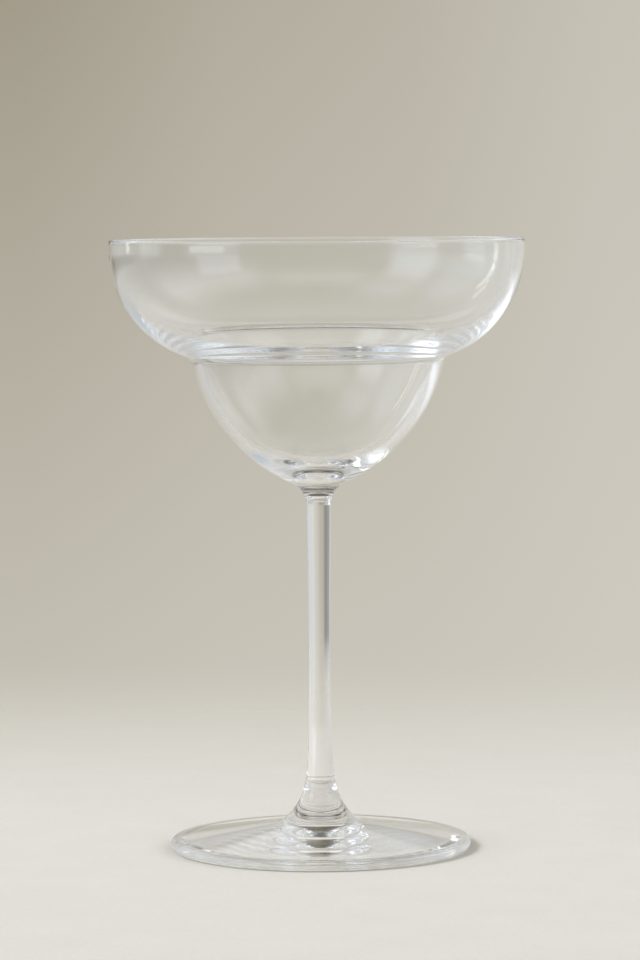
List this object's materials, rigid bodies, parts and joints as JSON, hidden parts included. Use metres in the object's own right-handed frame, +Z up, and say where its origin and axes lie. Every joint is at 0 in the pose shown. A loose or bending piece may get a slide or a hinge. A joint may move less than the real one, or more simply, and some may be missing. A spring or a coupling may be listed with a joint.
{
  "type": "margarita glass",
  "caption": "Clear stemmed cocktail glass with a wide rounded upper bowl stepping in to a narrower lower bowl, on a slim drawn stem and a broad round foot.",
  "frame": {"origin": "on the surface the glass stands on, under the middle of the foot", "axes": "+Z up along the stem and the glass's own axis; the glass is the same all round, so +X and +Y are any two level directions"},
  "size_m": [0.118, 0.118, 0.174],
  "materials": {
    "bowl_glass": "clear polished soda-lime glass",
    "stem_glass": "clear polished soda-lime glass",
    "foot_glass": "clear polished soda-lime glass"
  },
  "bodies": {
    "root": {"bowl": "bowl_glass", "stem": "stem_glass", "foot": "foot_glass"}
  },
  "joints": []
}
